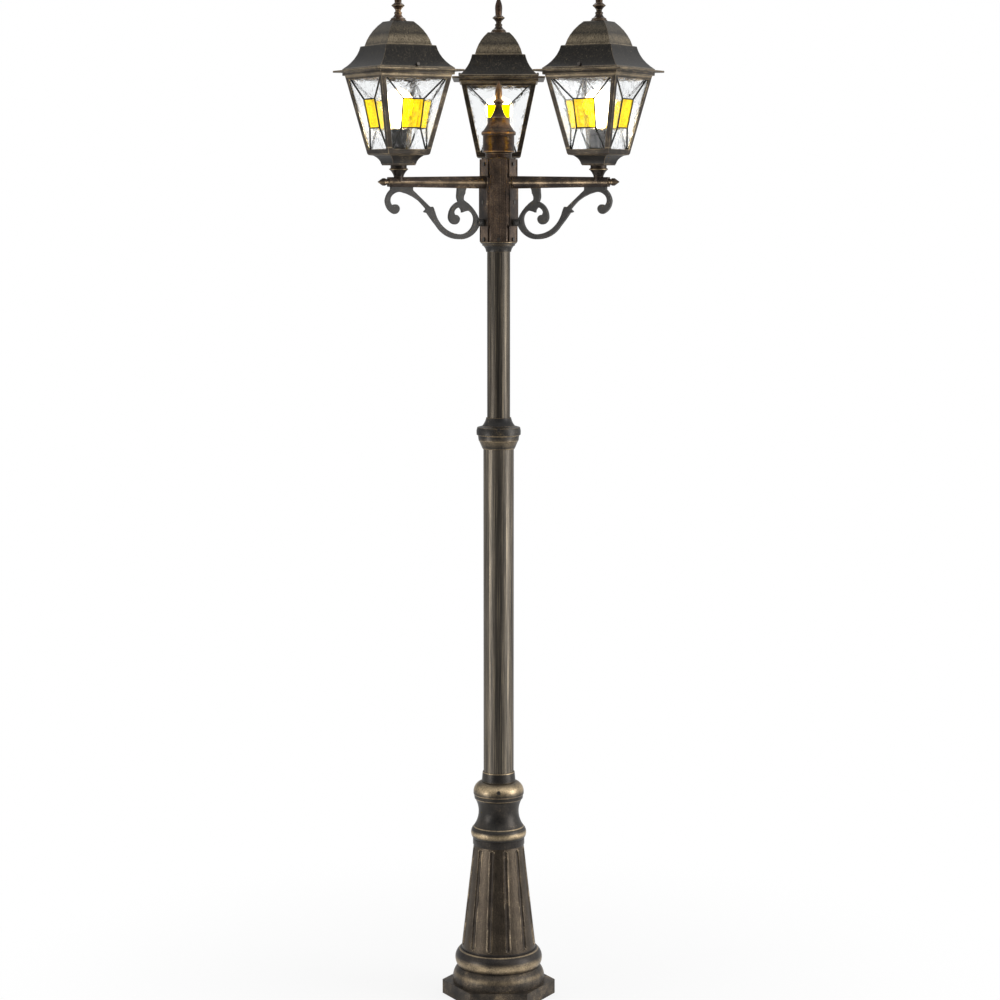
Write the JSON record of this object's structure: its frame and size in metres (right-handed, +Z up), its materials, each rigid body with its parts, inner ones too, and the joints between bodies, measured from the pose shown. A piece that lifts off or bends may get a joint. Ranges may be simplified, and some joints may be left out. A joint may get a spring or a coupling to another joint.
{
  "type": "triple head lamp post",
  "caption": "Garden lamp post with a hexagonal foot, fluted pedestal, two-stage mast, ribbed hub and square lanterns on scrolled arms.",
  "frame": {"origin": "centre of the anchor circle, on the ground under the plinth", "axes": "+Z up the mast, -Y towards the front, with the rear lantern on +Y and the other two towards -X and +X"},
  "size_m": [0.704, 0.6097, 2.2139],
  "materials": {
    "cast_body": "cast aluminium, black with rubbed antique bronze edges, satin",
    "mast_tube": "drawn tube, black-bronze streaked coat, satin",
    "scroll_metal": "cast aluminium, matt grey-black",
    "lantern_metal": "cast aluminium, black-bronze, brushed",
    "screw_steel": "bright steel",
    "dark_screw": "blackened steel",
    "clear_glass": "clear, rippled",
    "amber_glass": "amber, rippled",
    "lead": "black lead came",
    "holder_ceramic": "glazed white",
    "tube_brass": "plain",
    "bulb_glass": "frosted, warm",
    "connector_plastic": "moulded"
  },
  "bodies": {
    "post": {"plinth": "cast_body", "foot_screws": "screw_steel", "pedestal": "cast_body", "neck": "cast_body", "sleeve": "cast_body", "lower_mast": "mast_tube", "mast_collar": "cast_body", "set_screws": "screw_steel", "upper_mast": "mast_tube", "hub_foot": "cast_body", "hub": "cast_body", "hub_screws": "dark_screw", "hub_cap": "cast_body", "hub_finial": "cast_body", "terminal_block": "connector_plastic", "left_arm": "cast_body", "left_scroll": "scroll_metal", "left_stem": "cast_body", "left_pan": "lantern_metal", "left_nipple": "tube_brass", "left_lampholder": "holder_ceramic", "left_cage": "lantern_metal", "left_clear_panes": "clear_glass", "left_amber_panes": "amber_glass", "left_leadwork": "lead", "right_arm": "cast_body", "right_scroll": "scroll_metal", "right_stem": "cast_body", "right_pan": "lantern_metal", "right_nipple": "tube_brass", "right_lampholder": "holder_ceramic", "right_cage": "lantern_metal", "right_clear_panes": "clear_glass", "right_amber_panes": "amber_glass", "right_leadwork": "lead", "rear_arm": "cast_body", "rear_scroll": "scroll_metal", "rear_stem": "cast_body", "rear_pan": "lantern_metal", "rear_nipple": "tube_brass", "rear_lampholder": "holder_ceramic", "rear_cage": "lantern_metal", "rear_clear_panes": "clear_glass", "rear_amber_panes": "amber_glass", "rear_leadwork": "lead"},
    "left_cover": {"left_roof": "lantern_metal", "left_roof_finial": "lantern_metal", "left_roof_screws": "dark_screw"},
    "left_lamp": {"left_bulb": "bulb_glass", "left_bulb_cap": "tube_brass"},
    "right_cover": {"right_roof": "lantern_metal", "right_roof_finial": "lantern_metal", "right_roof_screws": "dark_screw"},
    "right_lamp": {"right_bulb": "bulb_glass", "right_bulb_cap": "tube_brass"},
    "rear_cover": {"rear_roof": "lantern_metal", "rear_roof_finial": "lantern_metal", "rear_roof_screws": "dark_screw"},
    "rear_lamp": {"rear_bulb": "bulb_glass", "rear_bulb_cap": "tube_brass"}
  },
  "joints": [
    {"name": "left_roof_lift", "type": "slide", "parent": "post", "child": "left_cover", "axis": [0, 0, 1], "range_m": [0, 0.16]},
    {"name": "left_bulb_turn", "type": "hinge", "parent": "post", "child": "left_lamp", "pos_m": [-0.21131, -0.122, 1.9], "axis": [0, 0, 1], "range_deg": [0, 1440]},
    {"name": "right_roof_lift", "type": "slide", "parent": "post", "child": "right_cover", "axis": [0, 0, 1], "range_m": [0, 0.16]},
    {"name": "right_bulb_turn", "type": "hinge", "parent": "post", "child": "right_lamp", "pos_m": [0.21131, -0.122, 1.9], "axis": [0, 0, 1], "range_deg": [0, 1440]},
    {"name": "rear_roof_lift", "type": "slide", "parent": "post", "child": "rear_cover", "axis": [0, 0, 1], "range_m": [0, 0.16]},
    {"name": "rear_bulb_turn", "type": "hinge", "parent": "post", "child": "rear_lamp", "pos_m": [0, 0.244, 1.9], "axis": [0, 0, 1], "range_deg": [0, 1440]}
  ]
}
